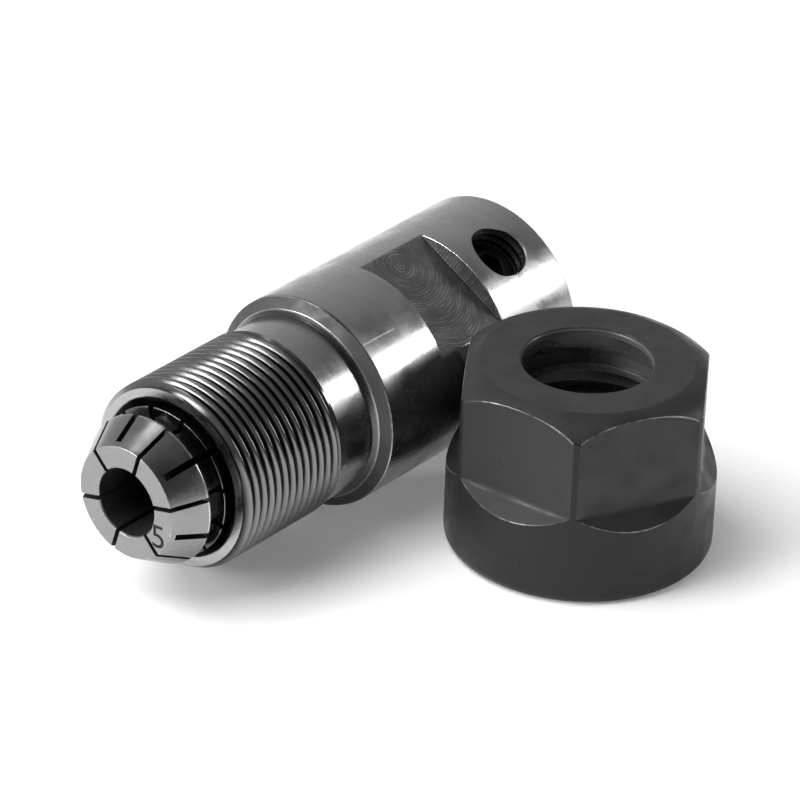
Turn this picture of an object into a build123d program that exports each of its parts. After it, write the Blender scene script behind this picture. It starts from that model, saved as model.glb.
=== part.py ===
from build123d import *
from math import cos, radians, sin, tan
import os

# Collet spindle for a motor shaft, taken apart on a bench, in millimetres.
# The spindle lies on its side along X with its nose towards -X, and its slit spring collet
# stands loosely in the nose. The clamping nut stands beside the neck on its threaded end.
# The origin is the centre of the mouth of the motor-shaft bore. The bench is at
# z = -BODY_RADIUS.

# ---- spindle body -------------------------------------------------------------------
BODY_RADIUS = 8.0
BODY_LENGTH = 35.5
BODY_EDGE_CHAMFER = 0.25

NECK_RADIUS = 6.8
SHOULDER_START = 21.15
SHOULDER_LENGTH = 0.7

THREAD_RADIUS = 7.0
THREAD_START = 25.3
THREAD_RUNIN = 0.2
THREAD_NOSE_CHAMFER = 0.4

SHAFT_BORE_RADIUS = 2.5
SHAFT_BORE_LENGTH = 20.6
SHAFT_BORE_CHAMFER = 0.3

TAPER_HALF_ANGLE = 8.0
MOUTH_RADIUS = 5.95
MOUTH_CHAMFER = 0.5

# ---- wrench flats and set screws ----------------------------------------------------
CROSS_ANGLE = 60.4
FLAT_NEAR_END = 7.9
FLAT_FAR_END = 14.75
FLAT_HALF_ACROSS = 6.66

SCREW_POSITION = 4.3
SCREW_RADIUS = 2.0
SCREW_RUNNING_GAP = 0.05
SCREW_TIP_DISTANCE = 2.6
SCREW_LENGTH = 3.6
SCREW_CHAMFER = 0.3
SCREW_CUP_RADIUS = 0.9
SCREW_CUP_DEPTH = 0.5
SCREW_CUP_TAPER = 45.0
SCREW_KEY_ACROSS = 2.0
SCREW_KEY_DEPTH = 1.6

# ---- collet -------------------------------------------------------------------------
COLLET_FACE = 40.06
COLLET_LENGTH = 18.0
COLLET_BORE_RADIUS = 2.5
COLLET_BORE_CHAMFER = 0.12
COLLET_RELIEF_RADIUS = 2.75
COLLET_RELIEF_LENGTH = 5.0
COLLET_FACE_RADIUS = 4.17
COLLET_NOSE_LENGTH = 2.4
COLLET_FLANGE_RADIUS = 5.5
COLLET_FLANGE_LAND = 0.15
COLLET_GROOVE_RADIUS = 4.75
COLLET_GROOVE_WIDTH = 1.41
COLLET_REAR_CHAMFER = 0.2
COLLET_SEAT_GAP = 0.04

SLOTS_PER_END = 6
FRONT_SLIT_ANGLE = 13.75
FRONT_SLIT_WIDTH = 0.34
FRONT_SLIT_WEB = 2.6
REAR_SLOT_WIDTH = 0.5
REAR_SLOT_WEB = 0.38
SAW_RADIUS = 15.0
SAW_DEPTH = 0.5

# ---- clamping nut -------------------------------------------------------------------
NUT_X = -11.86
NUT_Y = -17.63
NUT_TURN = 3.5
NUT_HEIGHT = 14.2
NUT_COLLAR_RADIUS = 9.55
NUT_ACROSS_FLATS = 16.75
NUT_FLAT_HEIGHT = 6.88
NUT_FOOT_CHAMFER = 0.55
NUT_CROWN_RADIUS = 7.5
NUT_CROWN_MID_RADIUS = 8.62
NUT_CROWN_MID_DROP = 0.5
NUT_CROWN_DROP = 1.4

NUT_BORE_RADIUS = 4.6
NUT_BORE_CHAMFER = 0.15
NUT_LIP = 0.6
NUT_SEAT_ANGLE = 30.0
NUT_SEAT_RADIUS = 5.65
NUT_RECESS_RADIUS = 5.75
NUT_RIB_TOP = 3.35
NUT_RIB_THICKNESS = 0.5
NUT_RIB_RADIUS = 5.1
NUT_RIB_OFFSET = 0.35
NUT_THROAT_RADIUS = 6.0
NUT_THROAT_END = 5.0
NUT_RELIEF_RADIUS = 7.15
NUT_RELIEF_WIDTH = 1.2
NUT_THREAD_RADIUS = 6.6
NUT_MOUTH_CHAMFER = 0.5

HEXAGON_SIDES = 6
BENCH = -BODY_RADIUS
TAPER = tan(radians(TAPER_HALF_ANGLE))
os.makedirs("parts", exist_ok=True)


def radial_plane(x, angle, distance):
    """Return the plane square to the radius at this angle round X, local x along X.

    The angle is measured from -Y towards +Z, and the plane stands off by the distance.
    """
    outward = Vector(0, -cos(radians(angle)), sin(radians(angle)))
    return Plane(origin=Vector(x, 0, 0) + outward * distance, x_dir=(1, 0, 0), z_dir=outward)


def axial_plane(angle):
    """Return the plane through the X axis at this angle: local x along X, local y outward."""
    outward = Vector(0, -cos(radians(angle)), sin(radians(angle)))
    return Plane(origin=(0, 0, 0), x_dir=(1, 0, 0), z_dir=Vector(1, 0, 0).cross(outward))


# ---- spindle body -------------------------------------------------------------------
# The collet's taper starts at the back wall of its groove, and the socket's wall follows it.
taper_front = -COLLET_FACE + COLLET_NOSE_LENGTH + COLLET_FLANGE_LAND + COLLET_GROOVE_WIDTH


def taper_radius(x):
    """Return the collet's radius on its long taper at this place along X."""
    return COLLET_FLANGE_RADIUS - (x - taper_front) * TAPER


socket_front = -BODY_LENGTH + MOUTH_CHAMFER
socket_end = -SHAFT_BORE_LENGTH
with BuildPart() as spindle_body:
    with BuildSketch(Plane.XZ):
        with BuildLine():
            Polyline(
                (0, SHAFT_BORE_RADIUS + SHAFT_BORE_CHAMFER),
                (0, BODY_RADIUS - BODY_EDGE_CHAMFER),
                (-BODY_EDGE_CHAMFER, BODY_RADIUS),
                (-SHOULDER_START, BODY_RADIUS),
                (-SHOULDER_START - SHOULDER_LENGTH, NECK_RADIUS),
                (-THREAD_START, NECK_RADIUS),
                (-THREAD_START - THREAD_RUNIN, THREAD_RADIUS),
                (-BODY_LENGTH + THREAD_NOSE_CHAMFER, THREAD_RADIUS),
                (-BODY_LENGTH, THREAD_RADIUS - THREAD_NOSE_CHAMFER),
                (-BODY_LENGTH, MOUTH_RADIUS),
                (socket_front, taper_radius(socket_front) + COLLET_SEAT_GAP),
                (socket_end, taper_radius(socket_end) + COLLET_SEAT_GAP),
                (socket_end, SHAFT_BORE_RADIUS),
                (-SHAFT_BORE_CHAMFER, SHAFT_BORE_RADIUS),
                close=True,
            )
        make_face()
    revolve(axis=Axis.X)
    flat_middle = -(FLAT_NEAR_END + FLAT_FAR_END) / 2
    for side in (0, 180):
        with BuildSketch(radial_plane(flat_middle, CROSS_ANGLE + side, FLAT_HALF_ACROSS)):
            Rectangle(FLAT_FAR_END - FLAT_NEAR_END, 2 * BODY_RADIUS)
        extrude(amount=BODY_RADIUS - FLAT_HALF_ACROSS, mode=Mode.SUBTRACT)
        with BuildSketch(radial_plane(-SCREW_POSITION, CROSS_ANGLE + side, 0)):
            Circle(SCREW_RADIUS + SCREW_RUNNING_GAP)
        extrude(amount=BODY_RADIUS, mode=Mode.SUBTRACT)
spindle_body.part.label = "spindle_body"
export_step(spindle_body.part, "parts/spindle_body.step")

# ---- set screws ---------------------------------------------------------------------
# Cup-point hexagon-socket set screws, one each side, tips just clear of the shaft bore.
for name, side in (("set_screw_upper", 0), ("set_screw_lower", 180)):
    screw_top = SCREW_TIP_DISTANCE + SCREW_LENGTH
    with BuildPart() as set_screw:
        with BuildSketch(radial_plane(-SCREW_POSITION, CROSS_ANGLE + side, SCREW_TIP_DISTANCE)):
            Circle(SCREW_RADIUS)
        extrude(amount=SCREW_LENGTH)
        chamfer(set_screw.edges().filter_by(GeomType.CIRCLE), SCREW_CHAMFER)
        with BuildSketch(radial_plane(-SCREW_POSITION, CROSS_ANGLE + side, screw_top)):
            RegularPolygon(SCREW_KEY_ACROSS / 2, HEXAGON_SIDES, major_radius=False)
        extrude(amount=-SCREW_KEY_DEPTH, mode=Mode.SUBTRACT)
        with BuildSketch(radial_plane(-SCREW_POSITION, CROSS_ANGLE + side, SCREW_TIP_DISTANCE)):
            Circle(SCREW_CUP_RADIUS)
        extrude(amount=SCREW_CUP_DEPTH, taper=SCREW_CUP_TAPER, mode=Mode.SUBTRACT)
    set_screw.part.label = name
    export_step(set_screw.part, f"parts/{name}.step")

# ---- collet -------------------------------------------------------------------------
# A spring collet: nose cone, flange, puller groove and a long taper, split into twelve
# fingers by six slits sawn from the front and six slots sawn from the rear between them.
collet_front = -COLLET_FACE
collet_rear = collet_front + COLLET_LENGTH
flange_front = collet_front + COLLET_NOSE_LENGTH
flange_rear = flange_front + COLLET_FLANGE_LAND
relief_start = collet_rear - COLLET_RELIEF_LENGTH
rear_radius = taper_radius(collet_rear)


def saw_path(open_end, stop, stop_radius, angle):
    """Return the area that a round saw sweeps in the plane at this angle round X.

    It runs from an open end of the collet to the stop, where the saw's rim leaves the
    surface at the stop radius. The saw's centre stands over the collet, so the slit runs
    further on the outside than at the bore.
    """
    saw_height = SAW_RADIUS + SAW_DEPTH
    reach = (SAW_RADIUS**2 - (saw_height - stop_radius) ** 2) ** 0.5
    saw_x = stop - reach if stop > open_end else stop + reach
    with BuildSketch(axial_plane(angle)) as path:
        with Locations((saw_x, saw_height)):
            Circle(SAW_RADIUS)
        with Locations(((saw_x + open_end) / 2, saw_height)):
            Rectangle(abs(saw_x - open_end), 2 * SAW_RADIUS)
    return path.sketch


with BuildPart() as collet:
    with BuildSketch(Plane.XZ):
        with BuildLine():
            Polyline(
                (collet_front, COLLET_BORE_RADIUS + COLLET_BORE_CHAMFER),
                (collet_front, COLLET_FACE_RADIUS),
                (flange_front, COLLET_FLANGE_RADIUS),
                (flange_rear, COLLET_FLANGE_RADIUS),
                (flange_rear, COLLET_GROOVE_RADIUS),
                (taper_front, COLLET_GROOVE_RADIUS),
                (taper_front, COLLET_FLANGE_RADIUS),
                (collet_rear - COLLET_REAR_CHAMFER, taper_radius(collet_rear - COLLET_REAR_CHAMFER)),
                (collet_rear, rear_radius - COLLET_REAR_CHAMFER),
                (collet_rear, COLLET_RELIEF_RADIUS),
                (relief_start, COLLET_RELIEF_RADIUS),
                (relief_start, COLLET_BORE_RADIUS),
                (collet_front + COLLET_BORE_CHAMFER, COLLET_BORE_RADIUS),
                close=True,
            )
        make_face()
    revolve(axis=Axis.X)
    nose_slope = (COLLET_FLANGE_RADIUS - COLLET_FACE_RADIUS) / COLLET_NOSE_LENGTH
    slit_stop = collet_rear - FRONT_SLIT_WEB
    slot_stop = collet_front + REAR_SLOT_WEB
    slot_stop_radius = COLLET_FACE_RADIUS + nose_slope * REAR_SLOT_WEB
    for finger in range(SLOTS_PER_END):
        slit_angle = FRONT_SLIT_ANGLE + finger * 360 / SLOTS_PER_END
        slot_angle = slit_angle + 180 / SLOTS_PER_END
        slit = saw_path(collet_front, slit_stop, taper_radius(slit_stop), slit_angle)
        extrude(slit, amount=FRONT_SLIT_WIDTH / 2, both=True, mode=Mode.SUBTRACT)
        slot = saw_path(collet_rear, slot_stop, slot_stop_radius, slot_angle)
        extrude(slot, amount=REAR_SLOT_WIDTH / 2, both=True, mode=Mode.SUBTRACT)
collet.part.label = "collet"
export_step(collet.part, "parts/collet.step")

# ---- clamping nut -------------------------------------------------------------------
# A hexagon nut with a round collar at its threaded end. The hexagon's flats stop in
# sloping ledges on the collar, and its crown is turned to a rounded cone.
nut_top = BENCH + NUT_HEIGHT
flat_bottom = BENCH + NUT_FLAT_HEIGHT
half_across = NUT_ACROSS_FLATS / 2
ledge = NUT_COLLAR_RADIUS + 1 - half_across
nut_axis = Axis((NUT_X, NUT_Y, 0), (0, 0, 1))
nut_section = Plane(origin=(NUT_X, NUT_Y, 0), x_dir=(1, 0, 0), z_dir=(0, -1, 0))
seat_depth = NUT_LIP + (NUT_SEAT_RADIUS - NUT_BORE_RADIUS) / tan(radians(NUT_SEAT_ANGLE))
rib_bottom = NUT_RIB_TOP + NUT_RIB_THICKNESS
relief_end_depth = NUT_THROAT_END + NUT_RELIEF_WIDTH
with BuildPart() as clamping_nut:
    with BuildSketch(nut_section):
        with BuildLine():
            crown_start = (NUT_CROWN_RADIUS, nut_top)
            crown_mid = (NUT_CROWN_MID_RADIUS, nut_top - NUT_CROWN_MID_DROP)
            crown_end = (NUT_COLLAR_RADIUS, nut_top - NUT_CROWN_DROP)
            Polyline(crown_end, (NUT_COLLAR_RADIUS, BENCH), (0, BENCH), (0, nut_top), crown_start)
            ThreePointArc(crown_start, crown_mid, crown_end)
        make_face()
    revolve(axis=nut_axis)
    chamfer(clamping_nut.edges().filter_by(GeomType.CIRCLE).sort_by(Axis.Z)[0], NUT_FOOT_CHAMFER)
    for side in range(HEXAGON_SIDES):
        flat_angle = radians(NUT_TURN + side * 360 / HEXAGON_SIDES)
        outward = Vector(cos(flat_angle), sin(flat_angle), 0)
        flat_plane = Plane(origin=(NUT_X, NUT_Y, 0), x_dir=outward, z_dir=outward.cross(Vector(0, 0, 1)))
        with BuildSketch(flat_plane):
            with BuildLine():
                Polyline(
                    (half_across, nut_top + 1),
                    (half_across, flat_bottom),
                    (half_across + ledge, flat_bottom - ledge),
                    (half_across + ledge, nut_top + 1),
                    close=True,
                )
            make_face()
        extrude(amount=NUT_COLLAR_RADIUS, both=True, mode=Mode.SUBTRACT)
    with BuildSketch(nut_section):
        with BuildLine():
            Polyline(
                (0, nut_top),
                (NUT_BORE_RADIUS + NUT_BORE_CHAMFER, nut_top),
                (NUT_BORE_RADIUS, nut_top - NUT_BORE_CHAMFER),
                (NUT_BORE_RADIUS, nut_top - NUT_LIP),
                (NUT_SEAT_RADIUS, nut_top - seat_depth),
                (NUT_RECESS_RADIUS, nut_top - seat_depth),
                (NUT_RECESS_RADIUS, nut_top - NUT_RIB_TOP),
                (0, nut_top - NUT_RIB_TOP),
                close=True,
            )
        make_face()
    revolve(axis=nut_axis, mode=Mode.SUBTRACT)
    with BuildSketch(Plane.XY.offset(nut_top - NUT_RIB_TOP)):
        with Locations((NUT_X + NUT_RIB_OFFSET, NUT_Y)):
            Circle(NUT_RIB_RADIUS)
    extrude(amount=-NUT_RIB_THICKNESS, mode=Mode.SUBTRACT)
    with BuildSketch(nut_section):
        with BuildLine():
            Polyline(
                (0, nut_top - rib_bottom),
                (NUT_THROAT_RADIUS, nut_top - rib_bottom),
                (NUT_THROAT_RADIUS, nut_top - NUT_THROAT_END),
                (NUT_RELIEF_RADIUS, nut_top - NUT_THROAT_END),
                (NUT_RELIEF_RADIUS, nut_top - relief_end_depth),
                (NUT_THREAD_RADIUS, nut_top - relief_end_depth),
                (NUT_THREAD_RADIUS, BENCH + NUT_MOUTH_CHAMFER),
                (NUT_THREAD_RADIUS + NUT_MOUTH_CHAMFER, BENCH),
                (0, BENCH),
                close=True,
            )
        make_face()
    revolve(axis=nut_axis, mode=Mode.SUBTRACT)
clamping_nut.part.label = "clamping_nut"
export_step(clamping_nut.part, "parts/clamping_nut.step")
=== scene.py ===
"""Dresses the collet spindle: the spindle body, its collet, its set screws and its nut."""

import logging
import math
from collections.abc import Callable, Sequence
from dataclasses import asdict, dataclass
from enum import Enum, IntEnum

import bmesh
import bpy
import numpy as np
from mathutils import Matrix, Vector


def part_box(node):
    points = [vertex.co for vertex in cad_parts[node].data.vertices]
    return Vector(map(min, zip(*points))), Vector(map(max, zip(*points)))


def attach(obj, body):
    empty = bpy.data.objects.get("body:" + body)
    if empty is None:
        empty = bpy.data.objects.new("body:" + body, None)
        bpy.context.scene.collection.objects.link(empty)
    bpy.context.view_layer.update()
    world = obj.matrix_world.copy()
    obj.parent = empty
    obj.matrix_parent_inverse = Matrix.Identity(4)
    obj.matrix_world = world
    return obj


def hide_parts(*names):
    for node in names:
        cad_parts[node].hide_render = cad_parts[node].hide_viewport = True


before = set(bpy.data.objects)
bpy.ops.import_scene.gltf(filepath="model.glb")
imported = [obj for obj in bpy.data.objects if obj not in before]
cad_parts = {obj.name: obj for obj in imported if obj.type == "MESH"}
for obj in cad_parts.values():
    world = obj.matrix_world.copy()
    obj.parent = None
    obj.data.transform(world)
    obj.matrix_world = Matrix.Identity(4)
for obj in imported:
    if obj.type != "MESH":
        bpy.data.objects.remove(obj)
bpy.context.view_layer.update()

MM = 0.001
# Point attribute: above 0 where an edge is worn bare, below 0 in a concave corner or thread root that is
# darkened as painted shade.
WEAR_AND_SHADE = "wear_and_shade"
SKIN = "skin"
WELD = 0.0005
TINY = 1e-9
FULL_TURN = 2 * math.pi
SHARP_ANGLE = 27.0
ROUND_LIMIT = 0.4
CROSS_ANGLE = 60.4
BODY_RADIUS = 8.0
SCREW_LENGTH = 3.6
SCREW_RADIUS = 2.0
CUTTER_MIDDLE = (11.6, 3.1)
CUTTER_RADIUS = 3.42
SCRATCHES = (((20.95, 52.0), (17.65, 51.7)), ((21.1, 51.2), (20.8, 52.2)))

LOG = logging.getLogger("spindle")

Pair = tuple[float, float]
Direction = tuple[float, float, float]


# ---- node trees ----------------------------------------------------------------------


class Signal:
    """A value that a node tree works out. Arithmetic with it adds nodes to the tree."""

    def __init__(self, graph: "Graph", socket: bpy.types.NodeSocket) -> None:
        """Keep the graph and the output that holds the value."""
        self.graph = graph
        self.socket = socket

    def __add__(self, other: "Value") -> "Signal":
        """Return the sum."""
        return self.graph.math("ADD", self, other)

    def __sub__(self, other: "Value") -> "Signal":
        """Return the difference."""
        return self.graph.math("SUBTRACT", self, other)

    def __rsub__(self, other: float) -> "Signal":
        """Return the difference from a plain number."""
        return self.graph.math("SUBTRACT", other, self)

    def __mul__(self, other: "Value") -> "Signal":
        """Return the product."""
        return self.graph.math("MULTIPLY", self, other)

    def __truediv__(self, other: "Value") -> "Signal":
        """Return the quotient."""
        return self.graph.math("DIVIDE", self, other)


Value = float | int | str | tuple | Vector | Signal | bpy.types.Material


class Graph:
    """Adds nodes to a shader or geometry tree and links them."""

    def __init__(self, tree: bpy.types.NodeTree) -> None:
        """Keep the tree that the nodes go in."""
        self.tree = tree

    def put(self, socket: bpy.types.NodeSocket, value: Value) -> None:
        """Link a signal to an input, or set the input to a plain value."""
        if isinstance(value, Signal):
            self.tree.links.new(value.socket, socket)
        else:
            socket.default_value = value

    def add(self, kind: str, inputs: dict | None = None, **settings: object) -> bpy.types.Node:
        """Add one node.

        Args:
            kind: The node's type name.
            inputs: Values by input name or number.
            **settings: The node's own properties.

        Returns:
            The new node.
        """
        node = self.tree.nodes.new(kind)
        for name, value in settings.items():
            setattr(node, name, value)
        for key, value in (inputs or {}).items():
            self.put(node.inputs[key], value)
        return node

    def read(
        self, kind: str, inputs: dict | None = None, output: str | int = 0, **settings: object
    ) -> Signal:
        """Add one node, as add does, and return the output with this name or number."""
        return Signal(self, self.add(kind, inputs, **settings).outputs[output])

    def math(self, operation: str, *values: Value) -> Signal:
        """Return the result of a Math node with these inputs."""
        return self.read("ShaderNodeMath", dict(enumerate(values)), operation=operation)

    def vector(self, operation: str, *values: Value, **named: Value) -> Signal:
        """Return the result of a Vector Math node with these inputs."""
        output = "Value" if operation in ("DOT_PRODUCT", "LENGTH") else "Vector"
        inputs = dict(enumerate(values)) | named
        return self.read("ShaderNodeVectorMath", inputs, output, operation=operation)

    def split(self, vector: Signal) -> list[Signal]:
        """Return the three numbers of a vector."""
        return [Signal(self, part) for part in self.add("ShaderNodeSeparateXYZ", {0: vector}).outputs]

    def join(self, **parts: Value) -> Signal:
        """Return the vector of the numbers named X, Y and Z."""
        return self.read("ShaderNodeCombineXYZ", parts)

    def clamp(self, value: Value) -> Signal:
        """Return the value kept between 0 and 1."""
        return self.read("ShaderNodeClamp", {"Value": value})

    def remap(self, value: Value, low: float, high: float, first: float = 0.0, last: float = 1.0) -> Signal:
        """Return a value carried from one range to another, and kept inside that one."""
        limits = {"From Min": low, "From Max": high, "To Min": first, "To Max": last}
        return self.read("ShaderNodeMapRange", {"Value": value, **limits})

    def noise(self, place: Value, scale: float, detail: float, across: Signal | None = None) -> Signal:
        """Return noise from 0 to 1.

        Args:
            place: Where it is read.
            scale: How often it changes in each unit of the place.
            detail: How many finer layers it has.
            across: A fourth coordinate, along which it changes fast.

        Returns:
            The noise.
        """
        inputs = {"Vector": place, "Scale": scale, "Detail": detail}
        if across is None:
            return self.read("ShaderNodeTexNoise", inputs)
        inputs |= {"W": across, "Roughness": 0.6}
        return self.read("ShaderNodeTexNoise", inputs, noise_dimensions="4D")

    def paint(self, socket: bpy.types.NodeSocket, tone: Value) -> None:
        """Fill a colour input with a grey."""
        self.put(socket, self.read("ShaderNodeCombineColor", dict.fromkeys(("Red", "Green", "Blue"), tone)))


class Shader(Graph):
    """The node tree of one material."""

    def __init__(self, name: str) -> None:
        """Make the material."""
        self.material = bpy.data.materials.new(name)
        self.material.use_nodes = True
        super().__init__(self.material.node_tree)
        self.place = self.read("ShaderNodeTexCoord", output="Object")

    def close(self, tone: Value, inputs: dict[str, Value]) -> bpy.types.Material:
        """Fill the surface shader.

        Args:
            tone: The grey of its base colour.
            inputs: Its other inputs by name.

        Returns:
            The material.
        """
        shader = self.tree.nodes["Principled BSDF"]
        self.paint(shader.inputs["Base Color"], tone)
        for name, value in inputs.items():
            self.put(shader.inputs[name], value)
        return self.material


class GeometryTree(Graph):
    """A Geometry Nodes group with named inputs, which makes plain meshes."""

    def __init__(self, name: str, inputs: dict[str, str]) -> None:
        """Make the group and its sockets.

        Args:
            name: The group's name.
            inputs: The socket type of each named input.
        """
        super().__init__(bpy.data.node_groups.new(name, "GeometryNodeTree"))
        face = self.tree.interface
        face.new_socket("Geometry", in_out="OUTPUT", socket_type="NodeSocketGeometry")
        for label, kind in inputs.items():
            face.new_socket(label, in_out="INPUT", socket_type=kind)
        outputs = self.add("NodeGroupInput").outputs
        self.given = {label: Signal(self, outputs[label]) for label in inputs}

    def close(self, geometry: Signal) -> None:
        """End the tree: realize the geometry, weld it, set the material and put it out."""
        made = self.read("GeometryNodeRealizeInstances", {"Geometry": geometry})
        made = self.read("GeometryNodeMergeByDistance", {"Geometry": made, "Distance": WELD})
        finish = self.given["finish"]
        made = self.read("GeometryNodeSetMaterial", {"Geometry": made, "Material": finish})
        self.add("NodeGroupOutput", {0: made})

    def run(self, values: dict[str, Value], source: bpy.types.Mesh | None = None) -> bpy.types.Mesh:
        """Evaluate the tree once.

        Args:
            values: A value for each named input, apart from a geometry input.
            source: The mesh that a geometry input takes.

        Returns:
            The result as a plain mesh.
        """
        holder = add_object("holder", source or bpy.data.meshes.new("empty"))
        modifier = holder.modifiers.new("nodes", "NODES")
        modifier.node_group = self.tree
        for item in self.tree.interface.items_tree:
            if item.in_out == "INPUT" and item.name in values:
                value = values[item.name]
                is_number = item.socket_type == "NodeSocketFloat"
                modifier[item.identifier] = float(value) if is_number else value
        return flatten(holder)


def add_object(name: str, data: bpy.types.ID) -> bpy.types.Object:
    """Return a new object in the scene that holds the data."""
    made = bpy.data.objects.new(name, data)
    bpy.context.scene.collection.objects.link(made)
    return made


def flatten(holder: bpy.types.Object) -> bpy.types.Mesh:
    """Return an object's evaluated mesh as a plain one, and remove the object.

    Args:
        holder: An object whose modifiers make the mesh.

    Returns:
        The plain mesh.
    """
    holder.update_tag()
    bpy.context.view_layer.update()
    seen = holder.evaluated_get(bpy.context.evaluated_depsgraph_get())
    mesh = bpy.data.meshes.new_from_object(seen)
    bpy.data.objects.remove(holder)
    return mesh


# ---- shapes ---------------------------------------------------------------------------


class Skin(IntEnum):
    """The finishes of surfaces. Where two columns of a surface differ, the lower one wins."""

    TURNED = 0
    THREAD = 1
    # Painted shade: a dark tone for the socket, the bore and the shoulder's cone.
    SOCKET = 2
    MILLED = 3
    # Painted shade: the tapped holes are dark inside and take the plain steel tone only at their mouths.
    TAPPED = 4
    GROUND = 5
    # Painted shade: a dark tone for the collet's taper and groove behind its flange.
    REAR_SHADE = 6
    # Dark finish: real dark scale on the slit walls and the engraved digit, and painted shade in the
    # collet's bore.
    DARK_AND_SHADE = 7
    OXIDE = 8
    OXIDE_ROUND = 9
    OXIDE_INSIDE = 10
    SCREW = 11


@dataclass(frozen=True)
class Corner:
    """One corner of an outline.

    Attributes:
        along: Its place along the axis, in millimetres.
        out: Its radius.
        round: How far back from the corner its rounding starts.
        skin: The finish of the stretch that follows.
        steps: How many straight pieces the rounding has.
        wear_and_shade: How bare it is worn where it stands out, or how dark its painted shade is where it
            lies in.
        Below 0 the two change places.
    """

    along: float
    out: float
    round: float = 0.0
    skin: Skin = Skin.TURNED
    steps: int = 5
    wear_and_shade: float = 1.0


def outline(corners: Sequence[Corner]) -> np.ndarray:
    """Round an outline's corners, apart from its two ends.

    The solid lies on the right of the line, with the axis as x and the radius as y.

    Args:
        corners: The corners in order.

    Returns:
        One row a point: place along the axis, radius, wear and shade, and the next stretch's finish.
        Wear and shade is 1 on a bare edge and -1 in a concave corner, which is darkened as painted shade.
    """
    rows: list[tuple[float, float, float, int]] = []
    spots = np.array([(corner.along, corner.out) for corner in corners])
    for index, (corner, here) in enumerate(zip(corners, spots)):
        if corner.round == 0 or index in (0, len(corners) - 1):
            rows.append((*here, 0.0, corner.skin))
            continue
        ways = (spots[index - 1] - here, spots[index + 1] - here)
        lengths = [float(np.linalg.norm(way)) for way in ways]
        reach = min(corner.round, ROUND_LIMIT * min(lengths))
        start, end = (here + way * reach / max(length, TINY) for way, length in zip(ways, lengths))
        turn = ways[0][0] * ways[1][1] - ways[0][1] * ways[1][0]
        # Convex corners are marked as worn and concave ones as painted shade; a negative value swaps the
        # two.
        worn = 0.0 if abs(turn) < TINY else math.copysign(1.0, turn) * corner.wear_and_shade
        for step in range(corner.steps + 1):
            t = step / corner.steps
            point = (1 - t) ** 2 * start + 2 * t * (1 - t) * here + t**2 * end
            rows.append((*point, worn if 0 < step < corner.steps else 0.0, corner.skin))
    return np.array(rows)


def straight_angle(column: float, _radius: float) -> float:
    """Return the angle of a column that stands in a plane through the axis."""
    return column


Angle = Callable[[float, float], float]


class Shell:
    """A surface round +Z in millimetres, made of columns of points."""

    def __init__(self) -> None:
        """Start with nothing."""
        self.points: list[tuple[float, float, float]] = []
        self.wear_and_shade: list[float] = []
        self.faces: list[tuple[int, ...]] = []
        self.skins: list[int] = []

    def column(self, column: float, line: np.ndarray, angle: Angle) -> int:
        """Add one column of points.

        Args:
            column: The column's own coordinate.
            line: The outline's points.
            angle: Gives a point's angle in degrees from the column and the radius.

        Returns:
            The number of the column's first point.
        """
        base = len(self.points)
        for along, out, worn, _skin in line:
            turn = math.radians(angle(column, out))
            self.points.append((out * math.cos(turn), out * math.sin(turn), along))
            self.wear_and_shade.append(worn)
        return base

    def lattice(
        self,
        columns: Sequence[float],
        section: Callable[[float], np.ndarray],
        angle: Angle = straight_angle,
        ring: bool = True,
        loop: bool = False,
    ) -> None:
        """Add a surface from one outline for each column.

        Args:
            columns: The columns' coordinates.
            section: Gives a column's outline, always with the same number of points.
            angle: Gives a point's angle in degrees from the column and the radius.
            ring: True if the last column joins the first.
            loop: True if each outline's last point joins its first.
        """
        lines = [section(float(column)) for column in columns]
        bases = [self.column(float(column), line, angle) for column, line in zip(columns, lines)]
        rows = len(lines[0])
        for here in range(len(columns) if ring else len(columns) - 1):
            there = (here + 1) % len(columns)
            for row in range(rows if loop else rows - 1):
                above = (row + 1) % rows
                corners = (bases[here] + row, bases[there] + row)
                self.faces.append((*corners, bases[there] + above, bases[here] + above))
                self.skins.append(int(min(lines[here][row][3], lines[there][row][3])))

    def wall(self, column: float, line: np.ndarray, angle: Angle) -> None:
        """Close a loop of points in one column with a flat face.

        Args:
            column: The column's own coordinate.
            line: The loop's points. The first one's finish is the face's.
            angle: Gives a point's angle in degrees from the column and the radius.
        """
        base = self.column(column, line, angle)
        self.faces.append(tuple(range(base, base + len(line))))
        self.skins.append(int(line[0][3]))

    def mesh(self) -> bpy.types.Mesh:
        """Return the surface as a mesh with its wear and painted shade and its finishes marked."""
        made = bpy.data.meshes.new("shell")
        made.from_pydata(self.points, [], self.faces)
        made.attributes.new(WEAR_AND_SHADE, "FLOAT", "POINT").data.foreach_set("value", self.wear_and_shade)
        made.attributes.new(SKIN, "INT", "FACE").data.foreach_set("value", self.skins)
        return made


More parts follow.
